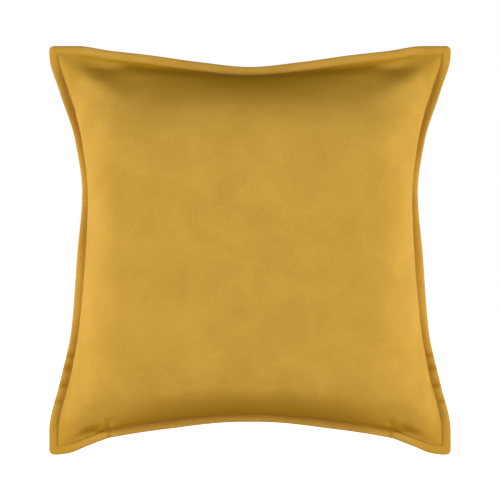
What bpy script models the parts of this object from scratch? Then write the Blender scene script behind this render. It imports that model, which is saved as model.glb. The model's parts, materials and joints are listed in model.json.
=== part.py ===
"""Throw pillow: a flanged square cover with a coil zip in its back, round a stuffed insert.

Metres, +Z up. The front faces -Y, the width runs along X and the thickness along Y. The pillow
stands upright on its two bottom corners, with the origin under the middle of it.
"""

import math

import bmesh
import bpy
import numpy as np
from mathutils import Matrix, Vector

MM = 0.001

# Stuffed cover, measured over the flange
HEIGHT = 440 * MM
CORNER_WIDTH = 432 * MM
THICKNESS = 165 * MM
WAIST_DRAW = 35.5 * MM  # each side is pulled in this far at the waist
TOP_DRAW = 22.5 * MM
BOTTOM_DRAW = 34.5 * MM
CORNER_R = 5 * MM
CROWN_POWER = 0.6  # 0.5 would be an ellipse, 1.0 a parabola
REST_PRESS = 7 * MM  # the back crown is pressed flat by this where it leans

# How the pull-in is spread along an edge, as (share of the edge, share of the pull-in)
SIDE_SHAPE = (
    (0.0, 0.0),
    (0.06, 0.0),
    (0.18, 0.33),
    (0.3, 0.66),
    (0.49, 0.85),
    (0.64, 1.0),
    (0.77, 0.79),
    (0.89, 0.31),
    (0.98, 0.0),
    (1.0, 0.0),
)
TOP_SHAPE = ((0.0, 1.0), (0.25, 0.77), (0.5, 0.44), (0.7, 0.22), (0.86, 0.0), (1.0, 0.0))
BOTTOM_SHAPE = ((0.0, 1.0), (0.1, 0.99), (0.4, 0.8), (0.7, 0.52), (0.9, 0.05), (1.0, 0.0))

# Cloth, flange and sewing
CLOTH = 1.2 * MM
FLANGE = 9.5 * MM  # stitch line to the flange's outer edge
FLANGE_HALF = 2.1 * MM  # one side's share of the flange: face cloth over its seam allowance
PLY_GAP = 0.15 * MM  # each panel keeps this far from the middle plane
THREAD = 0.5 * MM
THREAD_SEAT = 0.25 * MM  # sewing thread to the cloth under it
RIM_CHAMFER = 0.8 * MM

# Zip, in the lower part of the back
ZIP_HEIGHT = 75 * MM
ZIP_LENGTH = 302 * MM  # opening between the ends of the folded edges
COIL_SHORT = 5 * MM  # each end of the coil stops this far inside the opening, for its stop
TAPE_OVER = 7 * MM  # each end of the tape runs this far under the cloth
TAPE_WIDTH = 10 * MM
TAPE_THICK = 0.6 * MM
COIL_WIDTH = 2 * MM
COIL_THICK = 1.5 * MM
COIL_GAP = 1 * MM  # between the two coils, wide enough for the slider's post
PART_GAP = 0.4 * MM  # between the zip's stacked parts
FOLD_END = 10 * MM  # the folded edges close over this length past each end
STITCH_LANE = 7.3 * MM  # zip topstitching, from the middle of the zip
STOP_LENGTH = 2.5 * MM
STOP_SEAT = 0.3 * MM  # stop to the coil's end
BAR_TACK = (8 * MM, 1.5 * MM)

# Slider and pull
SLIDER_LENGTH = 10 * MM
SLIDER_WIDTH = 7.4 * MM
SLIDER_ROOM = 0.9 * MM  # slider to the folded edge on each side, along the cloth
PLATE = 1.1 * MM
RAIL = 0.8 * MM
POST = (3 * MM, 0.5 * MM)
BAIL_WIDTH = 1.6 * MM
BAIL_INSIDE = 6 * MM
BAIL_WALL = 0.9 * MM
PULL_BAR = 1 * MM
PULL_WIDTH = 6 * MM
PULL_ARM = 1.6 * MM
PULL_REACH = 22 * MM
PULL_SEAT = 0.3 * MM

# Insert and label
INSERT_GAP = 0.35 * MM  # casing to the cover
BACK_GAP = 1.2 * MM  # casing to the back panels, where the label hangs
CASING = 0.5 * MM
FILL_GAP = 0.5 * MM
BORDER_CLOSE = 0.75  # the insert's border is this share of the height it would have
ZIP_RELIEF = 3.6 * MM  # the insert gives way by this behind the slider
SEAM_THREAD = (0.3 * MM, 0.9 * MM, 0.4 * MM)
LABEL = 0.3 * MM
LABEL_SEAT = 0.45 * MM

# Grid shared by every layer, so that nested layers never cross
ZIP_COLUMNS = 6  # equal columns over half the zip's opening
OUTER_COLUMNS = (0.29, 0.6, 0.82, 0.93, 1.0)  # shares of the way from the zip's end to the side
LOWER_ROWS = (0.0, 0.12, 0.36, 0.58, 0.78)
UPPER_ROWS = (0.0, 0.029, 0.08, 0.15, 0.235, 0.33, 0.43, 0.53, 0.625, 0.715, 0.8, 0.87, 0.925)
UPPER_ROWS += (0.965, 0.99, 1.0)
LABEL_COLUMNS, LABEL_ROWS = (1, 5), (7, 8)
ZIP_ROW = len(LOWER_ROWS)
ARC_STEPS = 24
STEEPEST = 4.0  # limit on how much a sloping wall is thickened

OCHRE = (0.56, 0.32, 0.045)
OCHRE_DARK = (0.4, 0.22, 0.03)
BLACK_METAL = (0.03, 0.028, 0.026)
WHITE_CLOTH = (0.8, 0.79, 0.76)
FIBRE = (0.86, 0.86, 0.85)

HALF_WIDTH = CORNER_WIDTH / 2
ZIP_END = ZIP_LENGTH / 2
COIL_END = ZIP_END - COIL_SHORT
TAPE_END = ZIP_END + TAPE_OVER
FOLD_GAP = SLIDER_WIDTH + 2 * SLIDER_ROOM  # between the two folded edges of the back


def along(points, share):
    """Smooth curve through (share, value) points that never overshoots them."""
    xs, ys = (np.array(column) for column in zip(*points))
    steps = np.diff(ys) / np.diff(xs)
    slopes = np.zeros(len(xs))
    for k in range(1, len(xs) - 1):
        if steps[k - 1] * steps[k] > 0:
            slopes[k] = 2 / (1 / steps[k - 1] + 1 / steps[k])
    share = np.clip(share, xs[0], xs[-1])
    k = np.clip(np.searchsorted(xs, share, side="right") - 1, 0, len(xs) - 2)
    width = xs[k + 1] - xs[k]
    t = (share - xs[k]) / width
    return (
        (1 + 2 * t) * (1 - t) ** 2 * ys[k]
        + t * (1 - t) ** 2 * width * slopes[k]
        + t**2 * (3 - 2 * t) * ys[k + 1]
        + t**2 * (t - 1) * width * slopes[k + 1]
    )


def seam_half(z):
    return HALF_WIDTH - WAIST_DRAW * along(SIDE_SHAPE, z / HEIGHT) - FLANGE


def seam_top(x):
    return HEIGHT - TOP_DRAW * along(TOP_SHAPE, abs(x) / HALF_WIDTH) - FLANGE


def seam_bottom(x):
    return BOTTOM_DRAW * along(BOTTOM_SHAPE, abs(x) / HALF_WIDTH) + FLANGE


def crown(x, z):
    """Share of the full crown height over the point: 1 in the middle, 0 on the stitch line."""
    low, high = seam_bottom(x), seam_top(x)
    across = 1 - (x / seam_half(z)) ** 2
    up = 1 - ((2 * z - low - high) / (high - low)) ** 2
    return (np.clip(across, 0, 1) * np.clip(up, 0, 1)) ** CROWN_POWER


def fade(value, start, end):
    """1 up to start, falling smoothly to 0 at end."""
    t = np.clip((end - value) / (end - start), 0, 1)
    return t * t * (3 - 2 * t)


def front_out(x, z):
    return FLANGE_HALF + (THICKNESS / 2 - FLANGE_HALF) * crown(x, z)


def back_crown(x, z):
    full = FLANGE_HALF + (THICKNESS / 2 - FLANGE_HALF + REST_PRESS) * crown(x, z)
    return np.minimum(full, THICKNESS / 2)


# The zip runs level round the back. Its strip of the back is part of a cone about a vertical axis.
PROBE = 2 * MM
ZIP_SLOPE = sum(
    float(back_crown(x, ZIP_HEIGHT + PROBE) - back_crown(x, ZIP_HEIGHT - PROBE)) / (4 * PROBE)
    for x in (0.0, ZIP_END)
)
ZIP_TILT = math.atan(ZIP_SLOPE)
ZIP_DROP = float(back_crown(0.0, ZIP_HEIGHT) - back_crown(ZIP_END, ZIP_HEIGHT))
OUTER_RADIUS = (ZIP_END**2 + ZIP_DROP**2) / (2 * ZIP_DROP)
COIL_LOW = TAPE_THICK / 2 + THREAD_SEAT
COIL_TOP = COIL_LOW + COIL_THICK
PANEL_IN = TAPE_THICK / 2 + PART_GAP
PANEL_OUT = PANEL_IN + CLOTH
ZIP_RADIUS = OUTER_RADIUS - PANEL_OUT / math.cos(ZIP_TILT)
AXIS_Y = float(back_crown(0.0, ZIP_HEIGHT)) - OUTER_RADIUS
STRIP = (13 * MM, 28 * MM)  # the cone fades into the crown between these distances
STRIP_END = (ZIP_END + 16 * MM, ZIP_END + 40 * MM)


def back_out(x, z):
    radius = OUTER_RADIUS + (z - ZIP_HEIGHT) * ZIP_SLOPE
    cone = AXIS_Y + np.sqrt(radius**2 - x**2)
    share = fade(abs(z - ZIP_HEIGHT), *STRIP) * fade(abs(x), *STRIP_END)
    return share * cone + (1 - share) * back_crown(x, z)


def slant(surface, x, z):
    """How much longer a wall is along Y than square to the surface."""
    dx = (surface(x + PROBE, z) - surface(x - PROBE, z)) / (2 * PROBE)
    dz = (surface(x, z + PROBE) - surface(x, z - PROBE)) / (2 * PROBE)
    return np.minimum(np.sqrt(1 + dx**2 + dz**2), STEEPEST)


def cover_inside(surface, x, z):
    out = surface(x, z)
    return out - np.minimum(CLOTH * slant(surface, x, z), out - PLY_GAP)


def casing_out(surface, x, z):
    """Outside of the insert's casing under one side of the cover."""
    gap = INSERT_GAP
    if surface is back_out:
        room = np.clip(surface(x, z) / (10 * MM), 0, 1)
        gap = INSERT_GAP + (BACK_GAP - INSERT_GAP) * room
        beside = abs(z - ZIP_HEIGHT) / math.cos(ZIP_TILT)
        relief = np.interp(beside, (0, TAPE_WIDTH, 2 * TAPE_WIDTH), (1, 0.25, 0))
        gap = gap + ZIP_RELIEF * relief * fade(abs(x), *STRIP_END)
    return cover_inside(surface, x, z) - gap * slant(surface, x, z)


def half_columns():
    """Columns from the middle to the side, with one at the zip's end."""
    share = ZIP_END / float(seam_half(ZIP_HEIGHT))
    inner = [share * k / ZIP_COLUMNS for k in range(ZIP_COLUMNS + 1)]
    return inner + [share + (1 - share) * s for s in OUTER_COLUMNS]


HALF_COLUMNS = half_columns()
COLUMNS = [-c for c in reversed(HALF_COLUMNS[1:])] + HALF_COLUMNS


def coons(u, t, low, high, side):
    """Grid point from four edge curves: low(u) and high(u), and the right-hand side(t)."""
    s = (u + 1) / 2
    edge = (1 - t) * np.array(low(u)) + t * np.array(high(u))
    right = np.array(side(t))
    left = right * (-1, 1)
    corner_low, corner_high = np.array(low(1.0)), np.array(high(1.0))
    right_line = (1 - t) * corner_low + t * corner_high
    left_line = right_line * (-1, 1)
    return edge + (1 - s) * (left - left_line) + s * (right - right_line)


def make_grid():
    corner_x = HALF_WIDTH - FLANGE
    ends = (float(seam_bottom(corner_x)), ZIP_HEIGHT, float(seam_top(corner_x)))

    def bottom(u):
        return u * corner_x, float(seam_bottom(u * corner_x))

    def middle(u):
        return u * float(seam_half(ZIP_HEIGHT)), ZIP_HEIGHT

    def top(u):
        return u * corner_x, float(seam_top(u * corner_x))

    def side_between(z0, z1):
        def side(t):
            z = z0 + t * (z1 - z0)
            return float(seam_half(z)), z

        return side

    lower, upper = side_between(*ends[:2]), side_between(*ends[1:])
    rows = [[coons(u, t, bottom, middle, lower) for u in COLUMNS] for t in LOWER_ROWS]
    rows += [[coons(u, t, middle, top, upper) for u in COLUMNS] for t in UPPER_ROWS]
    return np.array(rows)


GRID = make_grid()  # [row][column] -> x, z on the stitch line and inside it
ROWS, COLS = GRID.shape[0] - 1, GRID.shape[1] - 1


def border(first):
    """Rows and columns of the grid line 'first' in from the stitch line, anticlockwise."""
    r0, r1, c0, c1 = first, ROWS - first, first, COLS - first
    loop = [(r, c1) for r in range(r0, r1)]
    loop += [(r1, c) for c in range(c1, c0, -1)]
    loop += [(r, c0) for r in range(r1, r0, -1)]
    loop += [(r0, c) for c in range(c0, c1)]
    return loop


def outward(r, c, first):
    """Directions away from the middle at a border point, in the order of the border loop."""
    sides = (
        ((0, -1), r == first),
        ((1, 0), c == COLS - first),
        ((0, 1), r == ROWS - first),
        ((-1, 0), c == first),
    )
    ways = [way for way, beside in sides if beside]
    return ways[::-1] if r == first and c == first else ways


def moved(r, c, first, distance):
    """Border point moved away from the middle by distance, mitred at the corners."""
    return GRID[r][c] + distance * np.sum(outward(r, c, first), axis=0)


def rim_points(r, c):
    """Outer edge of the flange beside a stitch-line point, as (point, inward direction)."""
    ways = outward(r, c, 0)
    base = GRID[r][c]
    if len(ways) == 1:
        way = np.array(ways[0])
        return [(base + FLANGE * way, -way)]
    first, second = np.array(ways[0]), np.array(ways[1])
    centre = base + (FLANGE - CORNER_R) * (first + second)
    points = [(base + FLANGE * first, -first)]
    for k in range(4):
        turn = math.radians(30 * k)
        way = math.cos(turn) * first + math.sin(turn) * second
        points.append((centre + CORNER_R * way, -way))
    return points + [(base + FLANGE * second, -second)]


class Body:
    """Collects vertices and faces of one closed solid."""

    def __init__(self):
        self.points, self.faces = [], []

    def point(self, x, y, z):
        self.points.append((float(x), float(y), float(z)))
        return len(self.points) - 1

    def face(self, *corners):
        kept = [c for k, c in enumerate(corners) if c != corners[k - 1]]
        if len(kept) > 2:
            self.faces.append(kept)

    def band(self, one, other, closed=True):
        """Quads between two equally long strings of vertices."""
        for k in range(len(one) if closed else len(one) - 1):
            n = (k + 1) % len(one)
            self.face(one[k], one[n], other[n], other[k])

    def sheet(self, rows):
        for low, high in zip(rows, rows[1:]):
            self.band(low, high, closed=False)

    def build(self, name, material, origin=(0, 0, 0)):
        mesh = bpy.data.meshes.new(name)
        shifted = [tuple(a - b for a, b in zip(p, origin)) for p in self.points]
        mesh.from_pydata(shifted, [], self.faces)
        bm = bmesh.new()
        bm.from_mesh(mesh)
        bmesh.ops.recalc_face_normals(bm, faces=bm.faces)
        bm.to_mesh(mesh)
        bm.free()
        item = bpy.data.objects.new(name, mesh)
        item.location = origin
        bpy.context.collection.objects.link(item)
        mesh.materials.append(material)
        return item


def material(name, colour, roughness, metallic=0.0):
    item = bpy.data.materials.new(name)
    item.use_nodes = True
    shader = item.node_tree.nodes["Principled BSDF"]
    shader.inputs["Base Color"].default_value = (*colour, 1)
    shader.inputs["Roughness"].default_value = roughness
    shader.inputs["Metallic"].default_value = metallic
    return item


def fold_line(x, up):
    """Height of the folded edge above or below the middle of the zip."""
    open_half = FOLD_GAP / 2 * math.cos(ZIP_TILT)
    half = np.interp(abs(x), (ZIP_END, ZIP_END + FOLD_END), (open_half, PLY_GAP))
    middle = ZIP_HEIGHT - (PANEL_IN + PANEL_OUT) / 2 * math.sin(ZIP_TILT)
    return middle + (half if up else -half)


def layer(body, side, depth, surface, rows, fold=None):
    """Grid of vertices at depth(surface, x, z), on the side of the pillow given by side."""
    made = []
    for r in rows:
        line = []
        for c in range(COLS + 1):
            x, z = GRID[r][c]
            on_edge = c in (0, COLS)
            if r == ZIP_ROW and fold is not None:
                z = fold_line(x, fold)
            y = side * depth(surface, x, GRID[r][c][1] if on_edge else z)
            line.append(body.point(x, y, z))
        made.append(line)
    return made


def whole(surface, x, z):
    return surface(x, z)


def flange(body, side, outer, inner, chain, closed):
    """Flange beyond the stitch line, round a chain of (row, column, rim point, inward)."""
    top, mid, low, over, under = [], [], [], [], []
    for r, c, rim, inward in chain:
        x, z = rim + RIM_CHAMFER * inward
        top.append(body.point(x, side * FLANGE_HALF, z))
        mid.append(body.point(rim[0], side * (FLANGE_HALF - RIM_CHAMFER), rim[1]))
        low.append(body.point(rim[0], side * PLY_GAP, rim[1]))
        over.append(outer[r, c])
        under.append(inner[r, c])
    strings = (over, top, mid, low, under)
    for one, other in zip(strings, strings[1:]):
        body.band(one, other, closed)
    if not closed:
        for k in (0, -1):
            body.face(*(s[k] for s in strings))


def indexed(rows, lines):
    return {(r, c): v for r, line in zip(rows, lines) for c, v in enumerate(line)}


def full_chain():
    return [(r, c, *p) for r, c in border(0) for p in rim_points(r, c)]


def front_panel(paint):
    body = Body()
    rows = range(ROWS + 1)
    outer = layer(body, -1, whole, front_out, rows)
    inner = layer(body, -1, cover_inside, front_out, rows)
    body.sheet(outer)
    body.sheet(inner)
    flange(body, -1, indexed(rows, outer), indexed(rows, inner), full_chain(), True)
    return body.build("front_panel", paint)


def back_panel(name, up, paint):
    body = Body()
    rows = range(ZIP_ROW, ROWS + 1) if up else range(ZIP_ROW + 1)
    outer = layer(body, 1, whole, back_out, rows, up)
    inner = layer(body, 1, cover_inside, back_out, rows, up)
    body.sheet(outer)
    body.sheet(inner)
    loop = border(0)
    if up:
        start = loop.index((ZIP_ROW, COLS))
        stop = loop.index((ZIP_ROW, 0))
        part = loop[start : stop + 1]
    else:
        start = loop.index((ZIP_ROW, 0))
        part = loop[start:] + loop[: loop.index((ZIP_ROW, COLS)) + 1]
    chain = []
    for r, c in part:
        for rim, inward in rim_points(r, c):
            if r == ZIP_ROW:
                rim = np.array((rim[0], fold_line(rim[0], up)))
            chain.append((r, c, rim, inward))
    flange(body, 1, indexed(rows, outer), indexed(rows, inner), chain, False)
    edge = 0 if up else -1
    body.band(outer[edge], inner[edge], closed=False)
    return body.build(name, paint)


def thread_ring(name, first, near, far, y0, y1, paint):
    """Closed ring of thread round the grid line 'first', between two distances outside it."""
    body = Body()
    strings = []
    for distance, y in ((near, y0), (far, y0), (far, y1), (near, y1)):
        line = []
        for r, c in border(first):
            x, z = moved(r, c, first, distance)
            line.append(body.point(x, y, z))
        strings.append(line)
    for one, other in zip(strings, strings[1:] + strings[:1]):
        body.band(one, other)
    return body.build(name, paint)


def insert_layer(body, side, surface, depth, inset):
    """Insert grid, from the line next to the stitch line inwards, its border drawn in."""
    made = []
    for r in range(1, ROWS):
        line = []
        for c in range(1, COLS):
            x, z = GRID[r][c]
            y = float(casing_out(surface, x, z)) - depth * float(slant(surface, x, z))
            if outward(r, c, 1):
                x, z = moved(r, c, 1, -inset)
                floor = 2 * PLY_GAP
                at_rim = float(casing_out(surface, x, z)) - depth
                y = floor + max(at_rim - floor, 0) * BORDER_CLOSE
            line.append(body.point(x, side * y, z))
        made.append(line)
    return made


def picked(lines):
    return [lines[r - 1][c - 1] for r, c in border(1)]


def rim_loop(body, y, inset):
    return [body.point(x, y, z) for x, z in (moved(r, c, 1, -inset) for r, c in border(1))]


def casing(name, side, surface, paint):
    body = Body()
    outer = insert_layer(body, side, surface, 0, 0)
    inner = insert_layer(body, side, surface, CASING, CASING)
    body.sheet(outer)
    body.sheet(inner)
    out_low = rim_loop(body, side * PLY_GAP, 0)
    in_low = rim_loop(body, side * PLY_GAP, CASING)
    body.band(picked(outer), out_low)
    body.band(out_low, in_low)
    body.band(in_low, picked(inner))
    return body.build(name, paint)


def fill(paint):
    body = Body()
    depth = CASING + FILL_GAP
    front = insert_layer(body, -1, front_out, depth, depth)
    back = insert_layer(body, 1, back_out, depth, depth)
    body.sheet(front)
    body.sheet(back)
    body.band(picked(front), picked(back))
    return body.build("insert_fill", paint)


def care_label(paint):
    body = Body()
    (c0, c1), (r0, r1) = LABEL_COLUMNS, LABEL_ROWS
    sheets = []
    for depth in (LABEL_SEAT, LABEL_SEAT + LABEL):
        lines = []
        for r in range(r0, r1 + 1):
            line = []
            for c in range(c0, c1 + 1):
                x, z = GRID[r][c]
                y = cover_inside(back_out, x, z) - depth * slant(back_out, x, z)
                line.append(body.point(x, y, z))
            lines.append(line)
        body.sheet(lines)
        sheets.append(lines)
    loops = [
        rows[0] + [row[-1] for row in rows[1:]] + rows[-1][-2::-1] + [r[0] for r in rows[-2:0:-1]]
        for rows in sheets
    ]
    body.band(*loops)
    return body.build("care_label", paint)


def zip_point(s, lateral, level):
    """Point beside the zip: s along it, lateral up the cloth, level out from the tape."""
    turn = s / ZIP_RADIUS
    sin_t, cos_t = math.sin(ZIP_TILT), math.cos(ZIP_TILT)
    radius = ZIP_RADIUS + lateral * sin_t + level * cos_t
    z = ZIP_HEIGHT + lateral * cos_t - level * sin_t
    return radius * math.sin(turn), AXIS_Y + radius * math.cos(turn), z


def strip(name, lateral, level, along_zip, paint, steps=ARC_STEPS):
    """Rectangular bar that follows the zip."""
    body = Body()
    corners = [(lateral[a], level[b]) for a, b in ((0, 0), (1, 0), (1, 1), (0, 1))]
    rings = []
    for k in range(steps + 1):
        s = along_zip[0] + (along_zip[1] - along_zip[0]) * k / steps
        rings.append([body.point(*zip_point(s, *corner)) for corner in corners])
    for one, other in zip(rings, rings[1:]):
        body.band(one, other)
    body.face(*rings[0])
    body.face(*rings[-1])
    return body.build(name, paint)


def zip_strips(paints):
    tape, metal, thread = paints["tape"], paints["metal"], paints["thread"]
    half_gap = COIL_GAP / 2
    stop = (COIL_END + STOP_SEAT, COIL_END + STOP_SEAT + STOP_LENGTH)
    stop_level = (COIL_LOW, COIL_TOP)
    on_cloth = (PANEL_OUT + THREAD_SEAT, PANEL_OUT + THREAD_SEAT + THREAD)
    for word, sign in (("upper", 1), ("lower", -1)):
        tape_span = (sign * half_gap, sign * (half_gap + TAPE_WIDTH))
        coil_span = (sign * half_gap, sign * (half_gap + COIL_WIDTH))
        lane = (sign * (STITCH_LANE - THREAD / 2), sign * (STITCH_LANE + THREAD / 2))
        ends = (-TAPE_END, TAPE_END)
        strip(f"zip_tape_{word}", tape_span, (-TAPE_THICK / 2, TAPE_THICK / 2), ends, tape)
        strip(f"zip_coil_{word}", coil_span, stop_level, (-COIL_END, COIL_END), tape)
        strip(f"zip_stitch_{word}", lane, on_cloth, (-ZIP_END, ZIP_END), thread)
        strip(f"zip_top_stop_{word}", coil_span, stop_level, stop, metal, 1)
    both = (-half_gap - COIL_WIDTH, half_gap + COIL_WIDTH)
    strip("zip_bottom_stop", both, stop_level, (-stop[1], -stop[0]), metal, 1)
    length, width = BAR_TACK
    tack = (ZIP_END + FOLD_END + width, ZIP_END + FOLD_END + 2 * width)
    span = (-length / 2, length / 2)
    strip("bar_tack_right", span, on_cloth, tack, thread, 1)
    strip("bar_tack_left", span, on_cloth, (-tack[1], -tack[0]), thread, 1)


def prism(outline, low, high, plane):
    """Solid with a flat outline; plane turns (a, b, height) into slider coordinates."""
    bm = bmesh.new()
    rings = [[bm.verts.new(plane(a, b, h)) for a, b in outline] for h in (low, high)]
    bm.faces.new(rings[0])
    bm.faces.new(rings[1])
    for k in range(len(outline)):
        n = (k + 1) % len(outline)
        bm.faces.new((rings[0][k], rings[0][n], rings[1][n], rings[1][k]))
    bmesh.ops.recalc_face_normals(bm, faces=bm.faces)
    mesh = bpy.data.meshes.new("block")
    bm.to_mesh(mesh)
    bm.free()
    item = bpy.data.objects.new("block", mesh)
    bpy.context.collection.objects.link(item)
    return item


def flat(a, b, height):
    """Outline in the plane of the slider's plates."""
    return Vector((a, b, height))


def upright(a, b, height):
    """Outline in the plane along the zip and square to the cloth."""
    return Vector((a, height, b))


def united(name, blocks, paint, frame, origin):
    """One solid from overlapping blocks, placed by frame, with its origin on its joint axis."""
    first = blocks[0]
    for block in blocks[1:]:
        joint = first.modifiers.new("join", "BOOLEAN")
        joint.operation = "UNION"
        joint.solver = "EXACT"
        joint.object = block
    shaped = first.evaluated_get(bpy.context.evaluated_depsgraph_get())
    mesh = bpy.data.meshes.new_from_object(shaped)
    mesh.name = name
    for block in blocks:
        bpy.data.objects.remove(block, do_unlink=True)
    mesh.transform(Matrix.Translation([-v for v in origin]) @ frame)
    if frame.determinant() < 0:
        mesh.flip_normals()
    mesh.materials.clear()
    mesh.materials.append(paint)
    item = bpy.data.objects.new(name, mesh)
    item.location = origin
    bpy.context.collection.objects.link(item)
    return item


def zip_frame(s):
    """Matrix from slider coordinates (along, lateral, level) to the pillow."""
    here = Vector(zip_point(s, 0, 0))
    turn = s / ZIP_RADIUS
    ahead = Vector((math.cos(turn), -math.sin(turn), 0))
    out = (Vector(zip_point(s, 0, MM)) - here).normalized()
    up = (Vector(zip_point(s, MM, 0)) - here).normalized()
    frame = Matrix((ahead, up, out)).transposed().to_4x4()
    frame.translation = here
    return frame


SLIDER_AT = COIL_END - SLIDER_LENGTH / 2 - PART_GAP
PLATE_LOW = COIL_TOP + PART_GAP  # underside of the slider's top plate
PLATE_TOP = PLATE_LOW + PLATE
UNDER_TOP = -TAPE_THICK / 2 - PART_GAP - 0.2 * MM  # upper face of the slider's bottom plate
PIN_LEVEL = PLATE_TOP + PULL_SEAT + PULL_BAR / 2
LAP = 0.2 * MM  # blocks of one solid run into each other by this


def plate_outline():
    half, side = SLIDER_LENGTH / 2, SLIDER_WIDTH / 2
    nose = half - 3 * MM
    return (
        (-half, -side + 0.8 * MM),
        (-half, side - 0.8 * MM),
        (-half + 0.8 * MM, side),
        (nose, side),
        (half, side - 1.6 * MM),
        (half, -side + 1.6 * MM),
        (nose, -side),
        (-half + 0.8 * MM, -side),
    )


def rectangle(a0, a1, b0, b1):
    return ((a0, b0), (a1, b0), (a1, b1), (a0, b1))


def zip_slider(paint):
    half, side = SLIDER_LENGTH / 2, SLIDER_WIDTH / 2
    nose = half - 3 * MM
    blocks = [prism(plate_outline(), PLATE_LOW, PLATE_TOP, flat)]
    blocks.append(prism(plate_outline(), UNDER_TOP - PLATE, UNDER_TOP, flat))
    post = rectangle(half - 1 * MM - POST[0], half - 1 * MM, -POST[1] / 2, POST[1] / 2)
    blocks.append(prism(post, UNDER_TOP - LAP, PLATE_LOW + LAP, flat))
    for sign in (1, -1):
        rail = rectangle(-half + 0.8 * MM, nose, sign * side, sign * (side - RAIL))
        blocks.append(prism(rail, PANEL_IN, PLATE_LOW + LAP, flat))
    inside, wall = BAIL_INSIDE / 2, BAIL_WALL
    roof = PIN_LEVEL + PULL_BAR / 2 + PULL_SEAT
    arch = (
        (-inside - wall, PLATE_TOP - LAP),
        (-inside, PLATE_TOP - LAP),
        (-inside, roof - 0.5 * MM),
        (-inside + 0.5 * MM, roof),
        (inside - 0.5 * MM, roof),
        (inside, roof - 0.5 * MM),
        (inside, PLATE_TOP - LAP),
        (inside + wall, PLATE_TOP - LAP),
        (inside + wall, roof),
        (inside, roof + wall),
        (-inside, roof + wall),
        (-inside - wall, roof),
    )
    blocks.append(prism(arch, -BAIL_WIDTH / 2, BAIL_WIDTH / 2, upright))
    return united("zip_slider", blocks, paint, zip_frame(SLIDER_AT), (0, AXIS_Y, ZIP_HEIGHT))


def zip_pull(paint):
    """Pull lying back along the closed zip, its bar under the slider's bail."""
    low, high = PIN_LEVEL - PULL_BAR / 2, PIN_LEVEL + PULL_BAR / 2
    side = PULL_WIDTH / 2
    tab_start = BAIL_INSIDE / 2 + BAIL_WALL + PULL_BAR
    bar = rectangle(-PULL_BAR / 2, PULL_BAR / 2, -side, side)
    blocks = [prism(bar, low, high, flat)]
    for sign in (1, -1):
        arm = rectangle(-tab_start - LAP, LAP, sign * side, sign * (side - PULL_ARM))
        blocks.append(prism(arm, low, high, flat))
    tip = PULL_REACH - 2 * MM
    tab = (
        (-tab_start, -side),
        (-tab_start, side),
        (-tip, side - 0.6 * MM),
        (-PULL_REACH, side - 1.8 * MM),
        (-PULL_REACH, -side + 1.8 * MM),
        (-tip, -side + 0.6 * MM),
    )
    blocks.append(prism(tab, low, high, flat))
    pin = zip_point(SLIDER_AT, 0, PIN_LEVEL)
    return united("zip_pull", blocks, paint, zip_frame(SLIDER_AT), pin)


def clear_scene():
    for item in list(bpy.data.objects):
        bpy.data.objects.remove(item, do_unlink=True)


def main():
    clear_scene()
    cover = material("ochre_suede", OCHRE, 0.85)
    paints = {
        "tape": material("ochre_tape", OCHRE_DARK, 0.8),
        "metal": material("dark_metal", BLACK_METAL, 0.4, 1.0),
        "thread": material("ochre_thread", OCHRE_DARK, 0.6),
    }
    shell = material("white_casing", WHITE_CLOTH, 0.9)
    front_panel(cover)
    back_panel("back_panel_upper", True, cover)
    back_panel("back_panel_lower", False, cover)
    on_flange = (FLANGE_HALF + THREAD_SEAT, FLANGE_HALF + THREAD_SEAT + THREAD)
    for name, side in (("needle_thread", -1), ("bobbin_thread", 1)):
        y0, y1 = side * on_flange[0], side * on_flange[1]
        thread_ring(name, 0, THREAD, 2 * THREAD, y0, y1, paints["thread"])
    zip_strips(paints)
    zip_slider(paints["metal"])
    zip_pull(paints["metal"])
    care_label(material("label_satin", (0.85, 0.84, 0.8), 0.5))
    casing("insert_casing_front", -1, front_out, shell)
    casing("insert_casing_back", 1, back_out, shell)
    near, far, half = SEAM_THREAD
    thread_ring("insert_seam_thread", 1, near, far, -half, half, material("white_thread", WHITE_CLOTH, 0.7))
    fill(material("polyester_fibre", FIBRE, 1.0))
    print(f"zip axis y {AXIS_Y:.5f} radius {ZIP_RADIUS:.5f} tilt {math.degrees(ZIP_TILT):.2f}")
    print(f"slider at {SLIDER_AT:.5f} pin {zip_point(SLIDER_AT, 0, PIN_LEVEL)}")
    print(f"lateral {zip_frame(SLIDER_AT).col[1][:3]} ahead {zip_frame(SLIDER_AT).col[0][:3]}")


main()
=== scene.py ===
# %% [markdown]
# # A flanged throw pillow
# The pillow is a square cover of suede-like cloth with a flat border, the flange, stitched all
# round, and a stuffed insert inside it. A rigid model of it, the frame, already holds every piece
# at its real size. This lesson gives each piece its real surface: the cover is sewn flat and blown
# up by cloth simulation, and the zip, the stitches and the insert are built to fit it.

import json
import math

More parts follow.
